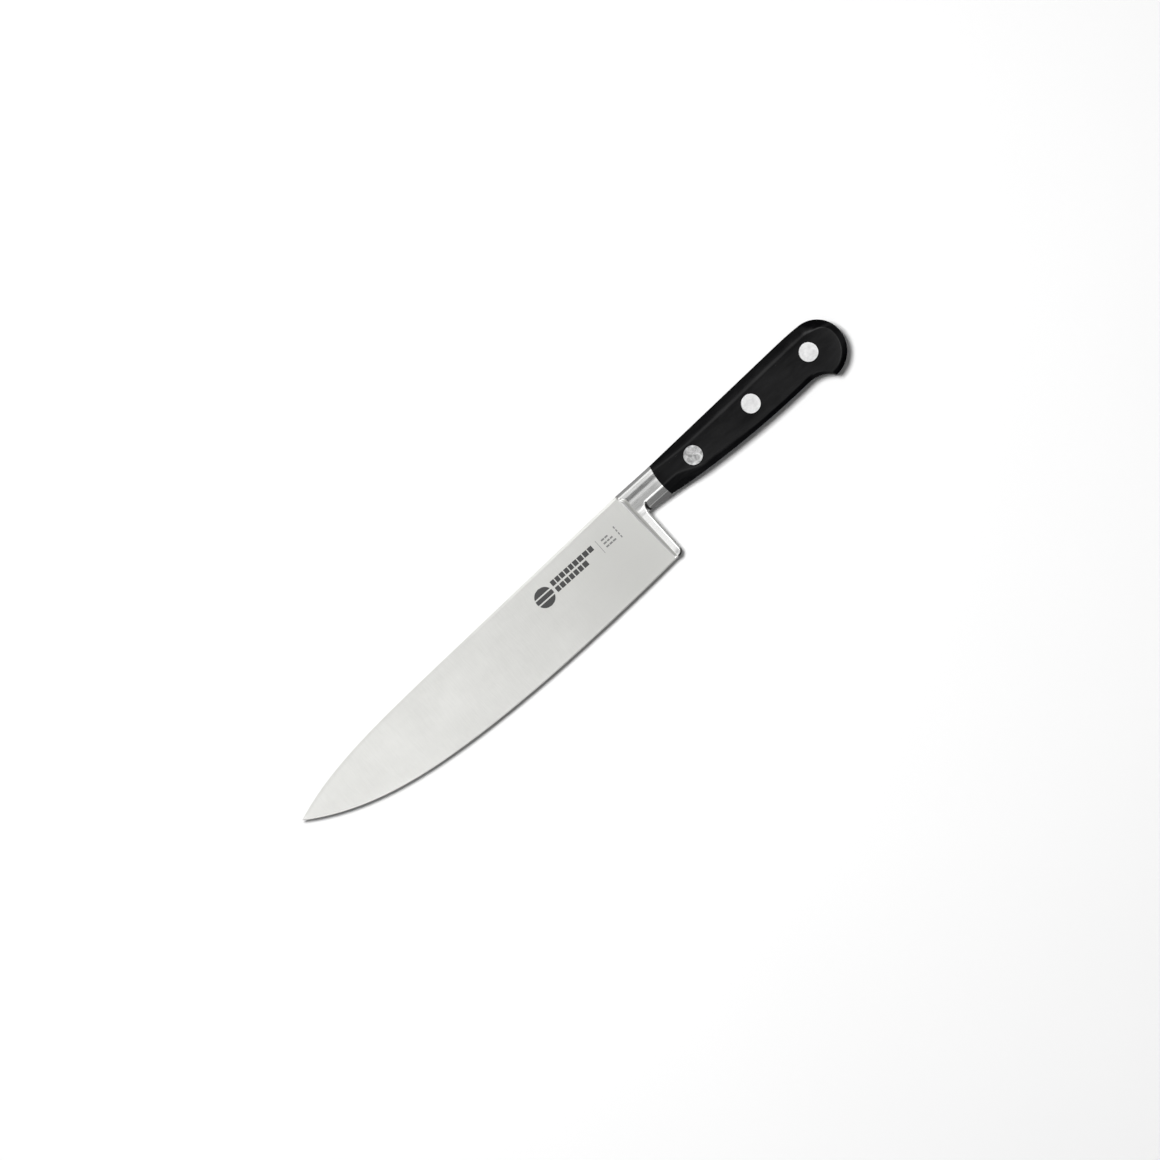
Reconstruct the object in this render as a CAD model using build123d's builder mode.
"""Chef's knife: one forging for blade, bolster and full tang, two moulded scales, three two-part rivets.

The knife lies on its right side. +X runs from the tip to the butt, +Y from the cutting edge to the spine,
and +Z up, out of the left face. The forging's middle plane is level, and the origin is under the middle of
the knife's outline, on the surface that it lies on.

Shapes are drawn in the knife's own coordinates: x from the heel (negative along the blade), y from the line
of the rivets, z from the middle plane. Three planes carry them: side, plan and across.
"""

import os

from build123d import *

# Blade
blade_length = 200.0  # tip to heel
heel_y = -29.2  # cutting edge at the heel
belly_x, belly_y = -66.0, -31.05  # lowest point of the cutting edge
tip_y = -5.2
tip_sweep = 12.0  # how much of the edge's rise to the tip is an even curve; the rest comes late
spine_heel_y = 9.2
spine_rise = 0.0304  # the straight part of the spine climbs this much per mm towards the handle
spine_drop_x = -90.0  # ahead of this the spine curves down to the tip
spine_half, tip_half = 1.6, 0.28  # half thickness at the spine, by the heel and at the tip
grind_half = 0.24  # half thickness where the sharpened bevel begins
edge_half = 0.05  # half thickness of the very edge
bevel_width = 0.8  # the sharpened bevel
ease_width = 1.2  # the spine's eased corner
ease_share = 0.62  # how much of the half thickness is left on top of the spine
blade_stations = (1.0, -25.0, -55.0, -85.0, -112.0, -136.0, -156.0, -172.0, -185.0, -194.0, -201.0)
trim = 0.4  # the sections stand this far outside the blade's outline, which then cuts them
blade_overlap = 0.9  # how far the blade runs on into the guard

# Guard
guard_back_x = 4.7
ramp_x_top, ramp_x_heel = -2.3, -0.1  # where the blade's face ends and the ramp begins
crown_x_top, crown_x_heel = 0.6, 0.9  # where the ramp ends
crown_half, crown_half_heel = 4.8, 2.6  # half thickness beside the neck and at the heel
foot_share = 0.9  # the ramp's foot is set this deep in the blade
ramp_sag_x, ramp_sag_z = 0.68, 0.36  # a point of the ramp's hollow, as shares of its run and its rise
guard_back_round = 1.1
guard_corner_round = 2.9
web_round = 1.0  # where the guard's back meets the neck's underside

# Neck and handle
handle_end_x = 120.6
handle_half = 7.75  # half thickness over the flat sides
neck_root_x = 0.75
taper_end_x, taper_end_half = 15.0, 6.435  # the neck's straight taper ends just ahead of the scales
scale_front_x, scale_front_radius = 16.8, 30.0
full_width_x = 38.0  # the sides run parallel behind this
neck_top_y, scale_top_y = 9.15, 9.2
top_line_x, top_line_y = 95.6, 11.7  # where the straight top line ends
crest_y = 11.775  # highest point of the handle, just behind it
crest_radius, crest_turn = 150.0, 4.85  # the flat crest between the top line and the butt
butt_radius, butt_turn = 13.0, 87.0
beak_radius, beak_turn = 14.3, 88.8
notch_radius, notch_x, notch_y = 13.3, 95.5, -10.18
belly_mid = (70.0, -10.5)
scale_foot_y, neck_foot_y = -6.65, -5.45
edge_round = 3.0  # the handle's long edges
facet_width, facet_depth = 3.8, 2.0  # the facet below the neck's flat side
under_facet = 6.0  # size of the steeper facet below that one, which runs past the outline
facet_fade = ((0.0, -0.7), (24.0, -0.7), (36.0, -4.9), (50.0, -9.5))  # (x, y) of the facet's upper edge

# Tang and rivets
tang_half = 1.5
front_rivet_x, rivet_pitch = 35.7, 34.05
head_diameter, head_depth = 8.7, 2.2
barrel_diameter, shank_diameter = 5.2, 3.2
tang_hole_diameter = 5.4
mouth_gap = 0.3  # left between the barrel's mouth and the stud's head, and above the shank's end

reach = 45.0  # longer than any section is wide
rivet_xs = [front_rivet_x + rivet_pitch * i for i in range(3)]
side = Plane(
    origin=((blade_length - handle_end_x) / 2, -(belly_y + crest_y) / 2, handle_half),
    x_dir=(1, 0, 0),
    z_dir=(0, 0, 1),
)
plan = Plane(side.origin, x_dir=(1, 0, 0), z_dir=(0, -1, 0))
across = Plane(side.origin, x_dir=(0, 1, 0), z_dir=(1, 0, 0))
os.makedirs("parts", exist_ok=True)


def spine_y(x):
    """Height of the spine: straight by the handle, then a drop that grows towards the tip."""
    share = max(0.0, (spine_drop_x - x) / (blade_length + spine_drop_x))
    drop = spine_heel_y - spine_rise * blade_length - tip_y
    return spine_heel_y + spine_rise * x - drop * min(share, 1.0) ** 4.4


def edge_y(x):
    """Height of the cutting edge: nearly straight behind the belly, sweeping up ahead of it."""
    if x > belly_x:
        return belly_y + (heel_y - belly_y) * (1 - min(x, 0.0) / belly_x) ** 2
    share = min(1.0, (belly_x - x) / (blade_length + belly_x))
    return belly_y + tip_sweep * share**2 + (tip_y - belly_y - tip_sweep) * share**4.9


def blade_section(x):
    """The blade's section at x, a little taller than the blade itself, as (y, z) points."""
    low, high = edge_y(x) - trim, spine_y(x) + trim
    full = spine_half + (tip_half - spine_half) * min(1.0, max(0.0, -x / blade_length))
    bevel = min(trim + bevel_width, 0.3 * (high - low))
    ease = min(trim + ease_width, 0.3 * (high - low))
    left = [(low, edge_half), (low + bevel, min(grind_half, 0.8 * full))]
    left += [(high - ease, full), (high, full * ease_share)]
    return left + [(y, -z) for y, z in reversed(left)]


def side_half(x):
    """Half thickness of the grip at x: a straight taper along the neck that levels off along the scales."""
    if x < taper_end_x:
        return crown_half + (taper_end_half - crown_half) * (x - neck_root_x) / (taper_end_x - neck_root_x)
    share = max(0.0, (full_width_x - x) / (full_width_x - taper_end_x))
    return handle_half - (handle_half - taper_end_half) * share**2


def between(y, top, heel):
    """A measure of the guard at height y, which runs evenly from its value at the top to that at the heel."""
    return top + (heel - top) * (spine_heel_y - y) / (spine_heel_y - heel_y)


# Blade: a wedge lofted from the heel to the tip, then cut to the blade's outline.
with BuildPart() as blade:
    for x in blade_stations:
        with BuildSketch(across.offset(x)):
            Polygon(*blade_section(x), align=None)
    loft()
    with BuildSketch(side):
        with BuildLine():
            xs = [-blade_length * i / 20 for i in range(21)]
            Spline(*[(x, spine_y(x)) for x in xs])
            Spline(*[(x, edge_y(x)) for x in xs])
            overlap_corners = [(blade_overlap, spine_y(0)), (blade_overlap, heel_y)]
            Polyline((0, spine_y(0)), *overlap_corners, (0, heel_y))
        make_face()
    extrude(amount=reach, both=True, mode=Mode.INTERSECT)

# Guard: hollow ramp, crown and rounded back, level beside the neck and thinning down to the heel.
with BuildPart() as guard:
    for y, half in ((neck_top_y + 1, crown_half), (neck_foot_y, crown_half), (heel_y, crown_half_heel)):
        front = between(y, ramp_x_top, ramp_x_heel)
        crown = between(y, crown_x_top, crown_x_heel)
        foot = foot_share * between(y, spine_half, grind_half)
        sag = (front + ramp_sag_x * (crown - front), foot + ramp_sag_z * (half - foot))
        back_start = (guard_back_x - guard_back_round, half)
        back_end = (guard_back_x, half - guard_back_round)
        with BuildSketch(plan.offset(-y)):
            with BuildLine() as half_line:
                Line((front, 0), (front, foot))
                ThreePointArc((front, foot), sag, (crown, half))
                Line((crown, half), back_start)
                RadiusArc(back_start, back_end, guard_back_round)
                Line(back_end, (guard_back_x, 0))
                mirror(half_line.line, about=Plane.XZ)
            make_face()
    loft(ruled=True)
    with BuildSketch(side):
        with BuildLine():
            heel_corner = (guard_back_x, heel_y)
            front_low, front_high = (ramp_x_top - 1, heel_y), (ramp_x_top - 1, neck_top_y)
            FilletPolyline((guard_back_x, neck_top_y), heel_corner, front_low, radius=guard_corner_round)
            Polyline(front_low, front_high, (guard_back_x, neck_top_y))
        make_face()
    extrude(amount=reach, both=True, mode=Mode.INTERSECT)
    with BuildSketch(across):
        height = neck_top_y - heel_y + edge_round
        with Locations((neck_top_y - height / 2, 0)):
            RectangleRounded(height, 2 * crown_half, edge_round)
    extrude(amount=reach, both=True, mode=Mode.INTERSECT)

# Grip: the outer shape that the neck, the scales and the rivet heads share, before its lower facets.
with BuildPart() as grip:
    with BuildSketch(side):
        with BuildLine():
            top_line = Line((scale_front_x, scale_top_y), (top_line_x, top_line_y))
            TangentArc(top_line @ 0, (neck_root_x, neck_top_y), tangent=-(top_line % 0))
            crest = JernArc(top_line @ 1, top_line % 1, crest_radius, -crest_turn)
            butt = JernArc(crest @ 1, crest % 1, butt_radius, -butt_turn)
            beak = JernArc(butt @ 1, butt % 1, beak_radius, -beak_turn)
            notch = RadiusArc(beak @ 1, (notch_x, notch_y), notch_radius)
            belly = ThreePointArc(notch @ 1, belly_mid, (scale_front_x, scale_foot_y))
            TangentArc(belly @ 1, (neck_root_x, neck_foot_y), tangent=belly % 1)
            Line((neck_root_x, neck_foot_y), (neck_root_x, neck_top_y))
        make_face()
    extrude(amount=handle_half, both=True)
    with BuildSketch(plan):
        with BuildLine() as grip_plan:
            past_end_x = handle_end_x + 1
            neck_side = Line((neck_root_x, crown_half), (taper_end_x, taper_end_half))
            TangentArc(neck_side @ 1, (full_width_x, handle_half), tangent=neck_side % 1)
            Polyline((full_width_x, handle_half), (past_end_x, handle_half), (past_end_x, 0))
            Line((neck_root_x, crown_half), (neck_root_x, 0))
            mirror(grip_plan.line, about=Plane.XZ)
        make_face()
    extrude(amount=reach, both=True, mode=Mode.INTERSECT)
    rims = grip.edges().filter_by(Axis.Y, reverse=True).filter_by(Axis.Z, reverse=True)
    fillet(rims, radius=edge_round)

# Facets: what the lower facets of the neck and of the scale's front take off the grip's left side.
with BuildPart() as facets:
    for x, y in facet_fade:
        z = side_half(x)
        low_y, low_z = y - facet_width, z - facet_depth
        with BuildSketch(across.offset(x)):
            with BuildLine():
                Polyline(
                    (y + facet_width, z + facet_depth),
                    (low_y, low_z),
                    (low_y - under_facet, low_z - under_facet),
                    (low_y - under_facet, z + facet_depth),
                    close=True,
                )
            make_face()
    loft(ruled=True)

with BuildPart() as handle:
    add(grip.part)
    add(facets.part, mode=Mode.SUBTRACT)
    add(facets.part.mirror(side), mode=Mode.SUBTRACT)

# Scale beds: on each side of the tang, everything behind the curved front edge of the scale.
with BuildPart() as scale_beds:
    with BuildSketch(side.offset(tang_half)):
        with Locations((scale_front_x + scale_front_radius, 0)):
            Circle(scale_front_radius)
            Rectangle(handle_end_x, 2 * scale_front_radius, align=(Align.MIN, Align.CENTER))
    extrude(amount=handle_half)
    mirror(about=side)

# Left scale: half of the handle, with a counterbored hole for each rivet.
with BuildPart() as scale_left:
    add(handle.part)
    add(scale_beds.part, mode=Mode.INTERSECT)
    split(bisect_by=side, keep=Keep.TOP)
    with Locations(*[side.offset(handle_half) * Pos(x, 0) for x in rivet_xs]):
        CounterBoreHole(barrel_diameter / 2, head_diameter / 2, head_depth, depth=handle_half)
scale_left.part.label = "scale_left"
export_step(scale_left.part, "parts/scale_left.step")

# Right scale: the left one's mirror image.
with BuildPart() as scale_right:
    mirror(scale_left.part, about=side)
scale_right.part.label = "scale_right"
export_step(scale_right.part, "parts/scale_right.step")

# Forging: blade, guard and neck, and a tang as deep and as long as the handle.
with BuildPart() as forged_blade:
    add(blade.part)
    add(guard.part)
    add(handle.part)
    add(scale_beds.part, mode=Mode.SUBTRACT)
    with Locations(*[side * Pos(x, 0) for x in rivet_xs]):
        Hole(tang_hole_diameter / 2)
    web_corner = (side * Pos(guard_back_x, neck_foot_y)).position
    fillet(forged_blade.edges().sort_by_distance(web_corner)[0], radius=web_round)
forged_blade.part.label = "forged_blade"
export_step(forged_blade.part, "parts/forged_blade.step")

# Rivets: a socket from the left and a stud from the right, their heads ground flush with the scales.
head_radius, barrel_radius, shank_radius = head_diameter / 2, barrel_diameter / 2, shank_diameter / 2
seat = handle_half - head_depth  # distance of the heads' inner faces from the middle plane
mouth = seat - mouth_gap
for name, x in zip(("front", "middle", "rear"), rivet_xs):
    rivet_axis = Axis((side * Pos(x, 0)).position, (0, 0, 1))

    with BuildPart() as socket:
        with BuildSketch(plan):
            with BuildLine():
                Polyline(
                    (x, handle_half),
                    (x + head_radius, handle_half),
                    (x + head_radius, seat),
                    (x + barrel_radius, seat),
                    (x + barrel_radius, -mouth),
                    (x + shank_radius, -mouth),
                    (x + shank_radius, seat),
                    (x, seat),
                    close=True,
                )
            make_face()
        revolve(axis=rivet_axis)
        add(handle.part, mode=Mode.INTERSECT)
    socket.part.label = f"rivet_{name}_socket"
    export_step(socket.part, f"parts/rivet_{name}_socket.step")

    with BuildPart() as stud:
        with BuildSketch(plan):
            with BuildLine():
                Polyline(
                    (x, -handle_half),
                    (x + head_radius, -handle_half),
                    (x + head_radius, -seat),
                    (x + shank_radius, -seat),
                    (x + shank_radius, mouth),
                    (x, mouth),
                    close=True,
                )
            make_face()
        revolve(axis=rivet_axis)
        add(handle.part, mode=Mode.INTERSECT)
    stud.part.label = f"rivet_{name}_stud"
    export_step(stud.part, f"parts/rivet_{name}_stud.step")
